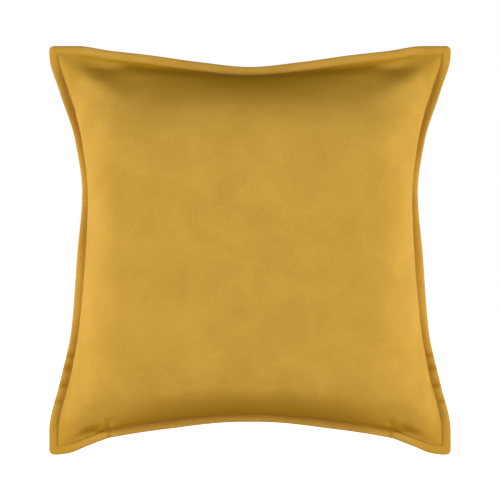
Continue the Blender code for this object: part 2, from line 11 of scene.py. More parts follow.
import bpy
import numpy as np
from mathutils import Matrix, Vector

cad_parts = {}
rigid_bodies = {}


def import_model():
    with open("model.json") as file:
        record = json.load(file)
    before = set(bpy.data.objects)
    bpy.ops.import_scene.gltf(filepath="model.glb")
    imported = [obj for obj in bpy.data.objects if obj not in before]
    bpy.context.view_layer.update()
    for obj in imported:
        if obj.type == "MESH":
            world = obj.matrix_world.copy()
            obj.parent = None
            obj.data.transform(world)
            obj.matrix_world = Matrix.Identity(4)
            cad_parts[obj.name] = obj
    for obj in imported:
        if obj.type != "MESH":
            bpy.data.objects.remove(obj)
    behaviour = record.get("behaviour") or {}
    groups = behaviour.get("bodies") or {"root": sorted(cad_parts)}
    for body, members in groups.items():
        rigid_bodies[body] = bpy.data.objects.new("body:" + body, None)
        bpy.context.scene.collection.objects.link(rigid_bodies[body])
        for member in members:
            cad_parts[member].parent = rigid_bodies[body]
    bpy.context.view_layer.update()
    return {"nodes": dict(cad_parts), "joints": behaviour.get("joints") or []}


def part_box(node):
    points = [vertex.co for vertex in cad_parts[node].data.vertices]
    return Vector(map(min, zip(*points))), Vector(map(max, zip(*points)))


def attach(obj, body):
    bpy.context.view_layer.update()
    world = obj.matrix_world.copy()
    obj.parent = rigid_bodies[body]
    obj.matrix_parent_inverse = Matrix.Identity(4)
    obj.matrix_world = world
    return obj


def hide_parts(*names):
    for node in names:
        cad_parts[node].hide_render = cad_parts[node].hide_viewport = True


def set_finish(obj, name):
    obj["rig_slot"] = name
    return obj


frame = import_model()
nodes = frame["nodes"]
MM = 0.001
print("pieces in the frame:", len(nodes))


# %% [markdown]
# ## The stage
# The pillow stands on its two bottom corners on a plain pale floor, in a bright room with no wall
# to catch a shadow. Two tall soft lights stand a little above its middle, one on each side and in
# front. They light what faces forwards or sideways and leave what faces up or down darker, which
# draws the soft dark bands along the top and bottom seams. Two weaker lights show the back.

# %% Camera
VIEW_WIDTH = 0.538  # width of the view where the pillow stands
VIEW_HEIGHT = 0.2206  # the camera looks level, at this height
CAMERA_AWAY = 2.4


def add_camera():
    data = bpy.data.cameras.new("camera")
    camera = bpy.data.objects.new("camera", data)
    bpy.context.collection.objects.link(camera)
    camera.location = (0, -CAMERA_AWAY, VIEW_HEIGHT)
    camera.rotation_euler = (math.radians(90), 0, 0)
    data.lens = data.sensor_width * CAMERA_AWAY / VIEW_WIDTH
    bpy.context.scene.camera = camera


add_camera()


# %% Lights
# place on the right, point it faces, width and height, power
LIGHTS = {
    "light": ((1.53, -0.80, 0.28), (0, -0.03, 0.22), (0.5, 0.7), 21.4),
    "back_light": ((1.5, 1.5, 0.45), (0, 0.03, 0.22), (0.6, 0.8), 13),
}


def add_area(name, place, aim, size, power):
    data = bpy.data.lights.new(name, "AREA")
    data.shape = "RECTANGLE"
    data.size, data.size_y = size
    data.energy = power
    light = bpy.data.objects.new(name, data)
    bpy.context.collection.objects.link(light)
    light.location = place
    light.rotation_euler = (Vector(aim) - Vector(place)).to_track_quat("-Z", "Z").to_euler()


for word, sign in (("left", -1), ("right", 1)):
    for name, (place, aim, size, power) in LIGHTS.items():
        add_area(f"{word}_{name}", (sign * place[0], *place[1:]), aim, size, power)

bpy.context.scene.view_settings.view_transform = "Standard"


# %% Room and floor
ROOM_LIGHT = 0.19  # what the room adds to the lights
FLOOR_GLOW = 0.12  # what the floor adds
FLOOR_PAINT = (0.7, 0.7, 0.7, 1)
PALE = 0.95  # how bright the bare floor looks


def seen_or_lit(tree, lit, seen):
    """One value for what is seen straight on, another for the light that it gives."""
    straight = tree.nodes.new("ShaderNodeLightPath").outputs["Is Camera Ray"]
    made = tree.nodes.new("ShaderNodeMapRange")
    made.inputs["To Min"].default_value = lit
    made.inputs["To Max"].default_value = seen
    tree.links.new(straight, made.inputs["Value"])
    return made.outputs["Result"]


world = bpy.data.worlds.new("studio")
world.use_nodes = True
room = world.node_tree.nodes["Background"]
room.inputs["Color"].default_value = (1, 1, 1, 1)
world.node_tree.links.new(seen_or_lit(world.node_tree, ROOM_LIGHT, 1.0), room.inputs["Strength"])
bpy.context.scene.world = world

bpy.ops.mesh.primitive_plane_add(size=12)
floor = bpy.context.object
floor.name = "floor"
paint = bpy.data.materials.new("pale_floor")
paint.use_nodes = True
shader = paint.node_tree.nodes["Principled BSDF"]
shader.inputs["Base Color"].default_value = FLOOR_PAINT
shader.inputs["Roughness"].default_value = 0.9
shader.inputs["Emission Color"].default_value = (1, 1, 1, 1)
paint.node_tree.links.new(
    seen_or_lit(paint.node_tree, FLOOR_GLOW, PALE), shader.inputs["Emission Strength"]
)
floor.data.materials.append(paint)


# %% [markdown]
# ## The outline
# Stuffing pulls the sides of a square cover in between its corners. The waist here is a little
# above the middle, and the bottom edge curves in more than the top. Each edge is a smooth curve
# through a few shares of its length and of its pull-in, so that a size can change by itself.

# %% Outline of the cover
HEIGHT = 440 * MM
HALF_WIDTH = 216 * MM
FLANGE = 9.5 * MM  # stitch line to the flange's edge
WAIST_DRAW = 35.5 * MM  # most that each side is pulled in
TOP_DRAW = 22.5 * MM
BOTTOM_DRAW = 35.6 * MM
# (share of the edge, share of its pull-in), from the bottom up or from the middle out
SIDE_SHAPE = (
    (0.0, 0.0),
    (0.06, 0.0),
    (0.18, 0.33),
    (0.3, 0.66),
    (0.49, 0.85),
    (0.64, 1.0),
    (0.77, 0.79),
    (0.89, 0.31),
    (0.98, 0.0),
    (1.0, 0.0),
)
TOP_SHAPE = ((0.0, 1.0), (0.25, 0.77), (0.5, 0.44), (0.7, 0.22), (0.86, 0.0), (1.0, 0.0))
BOTTOM_SHAPE = (
    (0.0, 1.0),
    (0.1, 0.99),
    (0.4, 0.8),
    (0.69, 0.53),
    (0.71, 0.50),
    (0.81, 0.275),
    (0.91, 0.05),
    (1.0, 0.0),
)


def along(points, share):
    """Smooth curve through (share, value) points that never overshoots them."""
    xs, ys = (np.array(column) for column in zip(*points))
    steps = np.diff(ys) / np.diff(xs)
    slopes = np.zeros(len(xs))
    for k in range(1, len(xs) - 1):
        if steps[k - 1] * steps[k] > 0:
            slopes[k] = 2 / (1 / steps[k - 1] + 1 / steps[k])
    share = np.clip(share, xs[0], xs[-1])
    k = np.clip(np.searchsorted(xs, share, side="right") - 1, 0, len(xs) - 2)
    width = xs[k + 1] - xs[k]
    t = (share - xs[k]) / width
    rise = (1 + 2 * t) * (1 - t) ** 2 * ys[k] + t**2 * (3 - 2 * t) * ys[k + 1]
    return rise + width * (t * (1 - t) ** 2 * slopes[k] + t**2 * (t - 1) * slopes[k + 1])


def seam_half(z):
    return HALF_WIDTH - WAIST_DRAW * along(SIDE_SHAPE, z / HEIGHT) - FLANGE


def seam_top(x):
    return HEIGHT - TOP_DRAW * along(TOP_SHAPE, abs(x) / HALF_WIDTH) - FLANGE


def seam_bottom(x):
    return BOTTOM_DRAW * along(BOTTOM_SHAPE, abs(x) / HALF_WIDTH) + FLANGE


CORNER_X = HALF_WIDTH - FLANGE
CORNER_LOW, CORNER_HIGH = float(seam_bottom(CORNER_X)), float(seam_top(CORNER_X))
print("stitch line, corner to corner:", round(2 * CORNER_X, 4), round(CORNER_HIGH - CORNER_LOW, 4))


# %% [markdown]
# ## Blowing up the cover
# On the real pillow two flat squares are stitched together and the insert pushes them apart. The
# cloth hardly stretches, so it folds and puckers where the seam is shorter than the cloth. Blender's
# Cloth does the same here: each side starts as a flat square grid, its border is pinned and moved to
# the drawn-in stitch line while pressure fills it, and the result is read back as plain numbers.

# %% Cloth simulation of one side
CELLS = 84  # grid cells across one side
FLAT = {-1: 0.4365, 1: 0.4385}  # flat square between the stitch lines, front and back
PLUMP = 82.1 * MM  # crown of each side over the flange's middle
STITCH_HALF = 1.3 * MM  # the stitches squeeze each side to this
DRAW_FRAMES, FRAMES = 16, 44  # the border is drawn in first, then the cloth settles
PRESSURE = 30.0


SUEDE_CLOTH = {
    "quality": 7,
    "mass": 0.1,
    "tension_stiffness": 40,
    "compression_stiffness": 40,
    "shear_stiffness": 13,
    "bending_stiffness": 0.4,
    "tension_damping": 25,
    "compression_damping": 25,
    "shear_damping": 15,
    "bending_damping": 1,
    "air_damping": 4,
    "use_pressure": True,
    "uniform_pressure_force": PRESSURE,
    "pin_stiffness": 50,
}


def border_target():
    """Grid whose border is the drawn-in stitch line (rows from the bottom up)."""
    u, t = np.meshgrid(np.linspace(-1, 1, CELLS + 1), np.linspace(0, 1, CELLS + 1))
    s = (u + 1) / 2
    z_side = CORNER_LOW + t * (CORNER_HIGH - CORNER_LOW)
    x = u * CORNER_X + (2 * s - 1) * (seam_half(z_side) - CORNER_X)
    z = (1 - t) * seam_bottom(u * CORNER_X) + t * seam_top(u * CORNER_X)
    return u, t, x, z


def grid_faces(rows, columns, first=0):
    index = np.arange(rows * columns).reshape(rows, columns) + first
    corners = (index[:-1, :-1], index[:-1, 1:], index[1:, 1:], index[1:, :-1])
    return np.stack(corners, -1).reshape(-1, 4)


def blow_up(side):
    """One side of the cover after stuffing, as grid points [row, column, xyz]."""
    u, t, x, z = border_target()
    size = FLAT[side]
    start = np.stack(
        [
            u * size / 2,
            side * (STITCH_HALF + 6 * MM * (1 - u**2) * (1 - (2 * t - 1) ** 2)),
            (t - 0.5) * size + (CORNER_LOW + CORNER_HIGH) / 2,
        ],
        -1,
    )
    target = np.stack([x, np.full_like(x, side * STITCH_HALF), z], -1)
    faces = grid_faces(CELLS + 1, CELLS + 1)
    mesh = bpy.data.meshes.new("cloth")
    mesh.from_pydata(start.reshape(-1, 3).tolist(), [], faces[:, :: -side].tolist())
    cloth = bpy.data.objects.new("cloth", mesh)
    bpy.context.collection.objects.link(cloth)
    on_border = np.zeros((CELLS + 1, CELLS + 1), bool)
    on_border[[0, -1]] = on_border[:, [0, -1]] = True
    pins = cloth.vertex_groups.new(name="stitch_line")
    pins.add(np.flatnonzero(on_border.ravel()).tolist(), 1.0, "REPLACE")
    cloth.shape_key_add(name="flat")
    drawn = cloth.shape_key_add(name="drawn_in")
    drawn.data.foreach_set("co", target.ravel())
    drawn.value = 0
    drawn.keyframe_insert("value", frame=1)
    drawn.value = 1
    drawn.keyframe_insert("value", frame=DRAW_FRAMES)
    modifier = cloth.modifiers.new("cloth", "CLOTH")
    for key, value in SUEDE_CLOTH.items():
        setattr(modifier.settings, key, value)
    modifier.settings.vertex_group_mass = "stitch_line"
    modifier.settings.effector_weights.gravity = 0
    modifier.collision_settings.use_collision = False
    modifier.point_cache.frame_start, modifier.point_cache.frame_end = 1, FRAMES
    for step in range(1, FRAMES + 1):
        bpy.context.scene.frame_set(step)
    shaped = cloth.evaluated_get(bpy.context.evaluated_depsgraph_get())
    points = np.empty((CELLS + 1) ** 2 * 3)
    shaped.to_mesh().vertices.foreach_get("co", points)
    shaped.to_mesh_clear()
    bpy.data.objects.remove(cloth, do_unlink=True)
    bpy.data.meshes.remove(mesh)
    return points.reshape(CELLS + 1, CELLS + 1, 3)


front_body, back_body = blow_up(-1), blow_up(1)
bpy.context.scene.frame_set(1)
print("crowns, mm:", [round(float(abs(b[..., 1]).max()) / MM, 1) for b in (front_body, back_body)])


# %% [markdown]
# ## From the simulated grid to a finer surface
# The simulated grid is coarse enough to be fast. Two steps of smooth interpolation halve its
# spacing and let any row of it be read between the points, which is how the back is later cut in
# two along the zip.

# %% Reading a grid between its points
def finer(points, axis):
    """Adds a smooth midpoint between neighbours along one axis."""
    p = np.moveaxis(points, axis, 0)
    before, after = 2 * p[:1] - p[1:2], 2 * p[-1:] - p[-2:-1]
    padded = np.concatenate([before, p, after])
    middle = (9 * (padded[1:-2] + padded[2:-1]) - padded[:-3] - padded[3:]) / 16
    out = np.empty((2 * len(p) - 1, *p.shape[1:]))
    out[::2], out[1::2] = p, middle
    return np.moveaxis(out, 0, axis)


def read_rows(points, rows):
    """Reads a grid at fractional row numbers, given for each [new row, column]."""
    padded = np.concatenate([2 * points[:1] - points[1:2], points, 2 * points[-1:] - points[-2:-1]])
    k = np.clip(rows.astype(int), 0, len(points) - 2)
    t = (rows - k)[..., None]
    columns = np.arange(points.shape[1])[None, :]
    a, b, c, d = (padded[k + j, columns] for j in range(4))
    bend, twist = 2 * a - 5 * b + 4 * c - d, 3 * b - a - 3 * c + d
    return 0.5 * (2 * b + (c - a) * t + bend * t**2 + twist * t**3)


def ease(low, high, value):
    t = np.clip((value - low) / (high - low), 0, 1)
    return t * t * (3 - 2 * t)


def normals_of(points, side):
    across = np.gradient(points, axis=1)
    up = np.gradient(points, axis=0)
    out = np.cross(across, up) * -side
    return out / np.maximum(np.linalg.norm(out, axis=-1, keepdims=True), 1e-12)


# %% [markdown]
# ## Shaping the cover
# Simulation gives the broad form. Its puckers along the seams are calmed, because this cloth is
# thick and smooth. Some folds come from the way the pillow was handled and set down: a raised fold
# runs from each top corner towards the middle with a hollow above it, and the cloth over each
# bottom corner is pressed into short tucks. They are added here as soft ridges along given lines,
# the same on the left and the right.

# %% Folds along lines
# from (x, z), to (x, z), half width at its middle, height out of the surface
FRONT_FOLDS = (
    ((0.202, 0.422), (0.120, 0.372), 0.0125, 0.0048),
    ((0.188, 0.434), (0.130, 0.408), 0.0105, -0.0066),
    ((0.196, 0.400), (0.168, 0.330), 0.0110, -0.0034),
    ((0.176, 0.345), (0.140, 0.300), 0.0160, -0.0030),
    ((0.192, 0.0135), (0.154, 0.0310), 0.0055, -0.0090),
    ((0.154, 0.0240), (0.148, 0.0420), 0.0035, -0.0030),
    ((0.200, 0.0300), (0.150, 0.0800), 0.0150, 0.0042),
    ((0.182, 0.0500), (0.170, 0.1150), 0.0100, -0.0026),
    ((0.074, 0.0440), (0.068, 0.1150), 0.0075, 0.0022),
)
BACK_FOLDS = (
    ((0.202, 0.421), (0.142, 0.376), 0.0120, 0.0055),
    ((0.190, 0.430), (0.124, 0.394), 0.0110, -0.0080),
    ((0.194, 0.0180), (0.150, 0.0360), 0.0080, -0.0055),
)


def shaped(points, folds, side):
    """Pushes the surface out or in along each fold, fading to nothing at the stitch line."""
    out = points.copy()
    for start, end, width, rise in folds:
        a, b = np.array(start), np.array(end)
        line = b - a
        place = np.stack([np.abs(points[..., 0]), points[..., 2]], -1) - a
        share = np.clip(place @ line / (line @ line), 0, 1)
        gap = np.linalg.norm(place - share[..., None] * line, axis=-1)
        body = ease(STITCH_HALF, STITCH_HALF + 9 * MM, side * points[..., 1])
        swell = np.sqrt(np.clip(ease(0, 0.4, share) * (1 - ease(0.45, 1, share)), 0, 1))
        spread = width * (0.65 + 0.7 * share)
        out[..., 1] += side * rise * swell * np.exp(-((gap / spread) ** 2)) * body
    out[..., 1] = side * np.maximum(side * out[..., 1], STITCH_HALF)
    return out


# share of the crown's height, from simulated to stuffed: steep sides and a nearly flat top
STUFFED = (
    (0.0, 0.0),
    (0.19, 0.27),
    (0.33, 0.485),
    (0.45, 0.655),
    (0.55, 0.775),
    (0.66, 0.875),
    (0.77, 0.940),
    (0.88, 0.981),
    (1.0, 1.0),
)


def calmed(body, passes):
    """Smooths puckers away along each seam, but not across it, and leaves the corners alone."""
    body = body.copy()
    far = ease(0.04, 0.22, 1 - np.abs(np.linspace(-1, 1, CELLS + 1)))
    for _ in range(passes):
        up = body[2:, 1:-1] + body[:-2, 1:-1] - 2 * body[1:-1, 1:-1]
        across = body[1:-1, 2:] + body[1:-1, :-2] - 2 * body[1:-1, 1:-1]
        body[1:-1, 1:-1] += 0.2 * (far[1:-1, None, None] * up + far[None, 1:-1, None] * across)
    return body


def tucked_in(body, side):
    """Holds the bulge back near the stitch line, so that the flange shows all round."""
    body = body.copy()
    x, z = np.abs(body[..., 0]), body[..., 2]
    lift = np.clip((side * body[..., 1] - STITCH_HALF) / (20 * MM), 0, 1)
    for axis, gap, outward in (
        (0, seam_half(z) - x, np.sign(body[..., 0])),
        (2, seam_top(x) - z, 1),
        (2, z - seam_bottom(x), -1),
    ):
        least = 0.8 * MM - 2.6 * MM * lift**0.7
        soft = least + 1.5 * MM * np.logaddexp(0, (gap - least) / (1.5 * MM)) - 1.0 * MM * lift
        move = np.where(lift > 0, np.maximum(soft - gap, 0), 0)
        body[..., axis] -= outward * move * ease(0, 0.1, lift)
    return body


def crowded(points):
    """Draws the outermost rows and columns close to the stitch line, for a crisp crease there."""
    row = np.arange(len(points), dtype=float)
    row[1:5] = 0.22, 0.8, 1.9, 3.3
    row[-5:-1] = len(points) - 1 - row[4:0:-1]
    row = np.broadcast_to(row[:, None], points.shape[:2])
    points = read_rows(points, row)
    return np.swapaxes(read_rows(np.swapaxes(points, 0, 1), row), 0, 1)


CALMING = 140  # smoothing passes along the seams


def finished_body(body, folds, side):
    body = tucked_in(calmed(body, CALMING), side)
    height = side * body[..., 1] - STITCH_HALF
    share = np.clip(height, 0, None) / height.max()
    x, z = np.abs(body[..., 0]), body[..., 2]
    to_corner = np.hypot(CORNER_X - x, np.minimum(z - CORNER_LOW, CORNER_HIGH - z))
    stuffed = ease(0.010, 0.058, to_corner)
    if side > 0:
        stuffed = stuffed * ease(0.09, 0.25, z)  # the back is lower at the zip
    share = stuffed * along(STUFFED, share) + (1 - stuffed) * 0.9 * share**1.08
    body[..., 1] = side * (STITCH_HALF + (PLUMP - STITCH_HALF) * share)
    return crowded(shaped(finer(finer(body, 0), 1), folds, side))


front_body = finished_body(front_body, FRONT_FOLDS, -1)
back_body = finished_body(back_body, BACK_FOLDS, 1)
print("points across each side:", front_body.shape[1])


# %% [markdown]
# ## The flange
# Outside the stitches the two sides lie flat on each other and make the flange. The grid goes on
# past the stitch line in rings. Each ring stands a little further out, its thickness swells away
# from the stitches and closes to an edge, and a shared wave lets the flange flutter without the two
# sides passing through each other.

# %% Rings of the flange
RING_AT = np.array([0.06, 0.16, 0.32, 0.52, 0.72, 0.87, 0.96, 1.0])
RING_HALF = np.array([1.4, 1.65, 2.0, 2.15, 2.0, 1.55, 1.0, 0.45]) * MM
RINGS = len(RING_AT)
CORNER_R = 5 * MM
CLOTH = 1.2 * MM
PLY_GAP = 0.15 * MM  # each side keeps this far from the middle of the flange


def flutter(x, z, share):
    """Sideways wave of the flange, shared by both sides."""
    beside = ease(0.150, 0.180, np.abs(x)) * (1 - ease(0.400, 0.430, z)) * ease(0.02, 0.05, z)
    up = -3.4 * np.exp(-(((z - 0.342) / 0.036) ** 2)) + 1.2 * np.sin(z / 0.024 + 0.7)
    up = up + 0.95 * np.sin(z / 0.0026) * np.exp(-(((z - 0.083) / 0.03) ** 2))
    below = 1 - ease(0.05, 0.09, z)
    along_x = 0.7 * np.sin(np.abs(x) / 0.019 + 0.9) + 0.45 * np.sin(np.abs(x) / 0.0083)
    kinks = 2.4 * np.exp(-(((np.abs(x) - 0.151) / 0.0032) ** 2))
    kinks = kinks + 1.3 * np.exp(-(((np.abs(x) - 0.014) / 0.0026) ** 2))
    top = 0.35 * np.sin(np.abs(x) / 0.031 + 0.5)
    wave = beside * up + below * (along_x + kinks) + (1 - below) * (1 - beside) * top
    return MM * share**1.4 * wave


def corner_out(a, b):
    """Ring shares (0 to 1) across and up to distances out, with the corner rounded."""
    straight = 1 - CORNER_R / FLANGE
    p = np.stack([np.clip(a - straight, 0, None), np.clip(b - straight, 0, None)], -1)
    length = np.linalg.norm(p, axis=-1)
    scale = np.where(length > 0, p.max(-1) / np.maximum(length, 1e-9), 1)[..., None]
    q = np.stack([np.minimum(a, straight), np.minimum(b, straight)], -1) + p * scale
    return q[..., 0] * FLANGE, q[..., 1] * FLANGE


def with_flange(body, side):
    """The outer surface and the inner one, from flange edge to flange edge."""
    rows, columns = body.shape[:2]
    wide = np.pad(body, ((RINGS, RINGS), (RINGS, RINGS), (0, 0)), mode="edge")
    step = np.concatenate([RING_AT[::-1], np.zeros(columns), RING_AT])
    lift = np.concatenate([RING_AT[::-1], np.zeros(rows), RING_AT])
    a, b = np.meshgrid(step, lift)
    out_x, out_z = corner_out(a, b)
    x_sign = np.where(np.arange(columns + 2 * RINGS) < RINGS, -1, 1)[None, :]
    z_sign = np.where(np.arange(rows + 2 * RINGS) < RINGS, -1, 1)[:, None]
    wide[..., 0] += x_sign * out_x
    wide[..., 2] += z_sign * out_z
    share = np.maximum(a, b)
    half = np.interp(share, [0, *RING_AT], [STITCH_HALF, *RING_HALF])
    wave = flutter(wide[..., 0], wide[..., 2], share)
    on_flange = share > 0
    outer = wide.copy()
    outer[..., 1] = np.where(on_flange, side * half + wave, wide[..., 1])
    middle = wide.copy()
    middle[..., 1] = np.where(on_flange, wave + side * PLY_GAP, side * PLY_GAP)
    inner = np.where(on_flange[..., None], middle, outer - normals_of(outer, side) * CLOTH)
    inner[..., 1] = side * np.maximum(side * inner[..., 1], side * middle[..., 1])
    return outer, inner


front_outer, front_inner = with_flange(front_body, -1)
back_outer, back_inner = with_flange(back_body, 1)
print("flange rings:", RINGS, "grid:", front_outer.shape[:2])


# %% [markdown]
# ## A sheet of cloth as a closed shell
# A panel is two grids, its outer and its inner face, joined round the rim by one more ring that
# stands out by half the thickness. That makes the cut or folded edge round, and leaves a closed
# solid with real thickness.

# %% Building meshes
def stands_for(piece, node, slot, body="cover"):
    """Rides on a body, replaces one node and takes a finish from the record's slot."""
    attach(piece, body)
    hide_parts(node)
    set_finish(piece, slot)
    return piece


def new_piece(name, points, faces, node, slot):
    mesh = bpy.data.meshes.new(name)
    mesh.from_pydata(np.asarray(points).tolist(), [], faces)
    mesh.shade_smooth()
    piece = bpy.data.objects.new(name, mesh)
    bpy.context.collection.objects.link(piece)
    print(name, "faces:", len(mesh.polygons))
    return stands_for(piece, node, slot)


def border(rows, columns):
    """Grid numbers once round the edge."""
    index = np.arange(rows * columns).reshape(rows, columns)
    return np.concatenate([index[0, :-1], index[:-1, -1], index[-1, :0:-1], index[:0:-1, 0]])


def shell(name, outer, inner, side, node, slot):
    rows, columns = outer.shape[:2]
    count = rows * columns
    loop = border(rows, columns)
    o, i = outer.reshape(-1, 3), inner.reshape(-1, 3)
    across = np.gradient(outer, axis=1).reshape(-1, 3)
    up = np.gradient(outer, axis=0).reshape(-1, 3)
    row, column = np.divmod(loop, columns)
    out = across[loop] * ((column == columns - 1) * 1 - (column == 0) * 1)[:, None]
    out += up[loop] * ((row == rows - 1) * 1 - (row == 0) * 1)[:, None]
    out /= np.linalg.norm(out, axis=1, keepdims=True)
    thick = np.linalg.norm(o[loop] - i[loop], axis=1, keepdims=True)
    rim = (o[loop] + i[loop]) / 2 + out * thick * 0.42
    ring = np.arange(len(loop))
    after = np.roll(ring, -1)
    face = grid_faces(rows, columns)
    first = 2 * count
    strip_out = np.stack([loop[after], loop[ring], first + ring, first + after], -1)
    strip_in = np.stack([first + after, first + ring, count + loop[ring], count + loop[after]], -1)
    faces = np.concatenate([face, strip_out, strip_in, count + face[:, ::-1]])
    if side > 0:
        faces = faces[:, ::-1]
    return new_piece(name, np.concatenate([o, i, rim]), faces.tolist(), node, slot)


# %% [markdown]
# ## Painted shade on the cover
# Each point of the cover gets one number of painted shade, which the suede material reads later as
# a deeper colour where shade would fall: it is high at the stitches, under the top seam, on steep
# slopes, at the corners and in small ticks in the flange.

# %% Front of the cover
SHADE_TICKS_AT = (0.107, 0.0944, 0.075, 0.0577)  # heights of painted shade ticks on the side flange
KINK_SHADE_AT = 0.1515  # across, where the bottom flange is bent and painted shade marks the bend


def painted_shade_marks(outer, side):
    """Painted shade, from 0 to 1, at each point: a deeper colour where shade would fall."""
    x, z, out = np.abs(outer[..., 0]), outer[..., 2], side * outer[..., 1]
    facing_up = np.abs(normals_of(outer, side)[..., 2])
    below_top = np.clip(seam_top(x) - z, 0, None)
    in_from_seam = np.minimum(seam_half(z) - x, np.minimum(seam_top(x) - z, z - seam_bottom(x)))
    on_flange = ease(-1 * MM, 3 * MM, -in_from_seam)
    # painted shade: the corners are darker
    at_corner = ease(0.165, 0.195, x) * (ease(0.385, 0.42, z) + 1 - ease(0.02, 0.05, z))
    # painted shade: small dark ticks in the side flange and a dark line at the bottom flange's bend
    tick_shade = sum(np.exp(-(((z - at) / 0.0024) ** 2)) for at in SHADE_TICKS_AT) * (x > 0.17)
    kink_shade = np.exp(-(((x - KINK_SHADE_AT) / 0.0020) ** 2)) * (z < 0.05)
    # painted shade: slopes that face up or down, away from the side lights, are darker
    slope_shade = ease(0.48, 1, facing_up * ease(0, 6 * MM, out))
    # painted shade: a dark band under the top seam, fading near the corners
    top_band_shade = np.exp(-below_top / (7 * MM)) * ease(0, 0.8 * MM, below_top)
    top_band_shade = top_band_shade * (1 - ease(0.172, 0.198, x))
    # painted shade: a dark line along the stitches, weaker at the corners
    reach = 1.6 * MM + 4 * MM * ease(0, 4 * MM, out - 2.2 * MM)
    stitched = ease(0.3, 0.8, facing_up + 0.35) * np.exp(-np.abs(in_from_seam) / reach)
    # all the painted shade is summed into one number for the suede's colour
    marks = 0.6 * stitched * (1 - 0.7 * at_corner) + 0.75 * on_flange * (tick_shade + kink_shade)
    return np.clip(marks + 0.7 * slope_shade + 0.75 * top_band_shade + 0.3 * at_corner, 0, 1)


def cover_panel(name, outer, inner, side, node):
    """A panel of the cover, cut to the flat size, with its painted shade stored for the suede."""
    panel = shell(name, outer, inner, side, node, "cover_cloth")
    values = painted_shade_marks(outer, side).ravel()
    rim = values[border(*outer.shape[:2])]
    # the painted shade is stored on the mesh as a point attribute for the suede material
    stored = panel.data.attributes.new("painted_shade", "FLOAT", "POINT").data
    stored.foreach_set("value", np.concatenate([values, values, rim]).astype(np.float32))
    return panel


front_cover = cover_panel("cover_front", front_outer, front_inner, -1, "front_panel")


# %% [markdown]
# ## The back, cut for the zip
# The back is two panels with a zip between them. The zip lies on a gentle cone round an upright
# axis, so that its slider can run along it as a real joint. Near the zip the simulated surface is
# eased onto that cone, and each panel ends there in a folded edge. Past the ends of the zip the two
# folds close up into a plain seam.

# %% The zip's own frame
ZIP_HEIGHT = 75 * MM
ZIP_AXIS_Y = frame["joints"][0]["pos_m"][1]
ZIP_RADIUS = 868.29 * MM
ZIP_TILT = math.radians(27.11)
FOLD_AT = 4.6 * MM  # folded edge, from the middle of the zip
SHUT_AT = 0.3 * MM  # the same where the folds have closed up
FOLD_LEVEL = 1.9 * MM  # outer face of the folds over the tape
ZIP_SHUT = (157 * MM, 166 * MM)  # the folds close up between these


def zip_point(s, lateral, level):
    """Point at s along the zip, lateral across it and level out from its tape."""
    s, lateral, level = np.broadcast_arrays(s, lateral, level)
    radius = ZIP_RADIUS + lateral * math.sin(ZIP_TILT) + level * math.cos(ZIP_TILT)
    z = ZIP_HEIGHT + lateral * math.cos(ZIP_TILT) - level * math.sin(ZIP_TILT)
    angle = s / ZIP_RADIUS
    return np.stack([radius * np.sin(angle), ZIP_AXIS_Y + radius * np.cos(angle), z], -1)


def cone_y(x, z, level):
    lateral = (z - ZIP_HEIGHT + level * math.sin(ZIP_TILT)) / math.cos(ZIP_TILT)
    radius = ZIP_RADIUS + lateral * math.sin(ZIP_TILT) + level * math.cos(ZIP_TILT)
    return ZIP_AXIS_Y + np.sqrt(radius**2 - x**2)


def eased_to_zip(points, level):
    x, z = points[..., 0], points[..., 2]
    near = 1 - ease(0.011, 0.034, np.abs(z - ZIP_HEIGHT))
    near = near * (1 - ease(0.166, 0.188, np.abs(x)))
    out = points.copy()
    out[..., 1] = (1 - near) * points[..., 1] + near * cone_y(x, z, level)
    return out


# %% Cutting the back in two
def fold_z(x, sign):
    """Height of a panel's folded edge at x."""
    open_by = 1 - ease(*ZIP_SHUT, np.abs(x))
    lateral = sign * (SHUT_AT + (FOLD_AT - SHUT_AT) * open_by)
    return ZIP_HEIGHT + lateral * math.cos(ZIP_TILT) - FOLD_LEVEL * math.sin(ZIP_TILT)


def cut_rows(surface, sign, count):
    """Row numbers that run from the flange's edge to the fold, crowding at the fold."""
    z = surface[..., 2]
    at_zip = np.argmin(np.abs(z - ZIP_HEIGHT), axis=0)
    columns = np.arange(surface.shape[1])
    target = fold_z(surface[at_zip, columns, 0], sign)
    fold = np.array([np.interp(target[c], z[:, c], np.arange(len(z))) for c in columns])
    crowd = np.sort(np.append(np.linspace(0, 1, count)[:-3], (0.990, 0.996, 1.0)))
    ring = np.arange(RINGS + 1)[:, None]
    ring = ring if sign < 0 else len(z) - 1 - ring
    ring = np.broadcast_to(ring, (RINGS + 1, len(columns)))
    rows = np.concatenate([ring, ring[-1] + (fold - ring[-1]) * crowd[1:, None]])
    return rows if sign < 0 else rows[::-1]


def back_part(word, sign, count):
    rows = cut_rows(back_outer, sign, count)
    outer = eased_to_zip(read_rows(back_outer, rows), FOLD_LEVEL)
    inner = eased_to_zip(read_rows(back_inner, rows), FOLD_LEVEL - CLOTH)
    return cover_panel(f"cover_back_{word}", outer, inner, 1, f"back_panel_{word}")


back_upper = back_part("upper", 1, 132)
back_lower = back_part("lower", -1, 34)


# %% [markdown]
# ## Stitches
# A line of sewing is a row of short threads, each rising out of one needle hole and sinking into
# the next. One stitch is a bent tube of a few faces, and the row is that tube laid again and again
# along the seam.

# %% A row of stitches
THREAD = 0.5 * MM
# along one stitch, as shares of its length: how far it rises and how thick it is
STITCH_AT = np.array([0.06, 0.16, 0.38, 0.62, 0.84, 0.94])
STITCH_RISE = np.array([-0.55, 0.12, 0.3, 0.3, 0.12, -0.55]) * THREAD
STITCH_RADIUS = THREAD / 2 * np.array([0.7, 0.95, 1.05, 1.05, 0.95, 0.7])


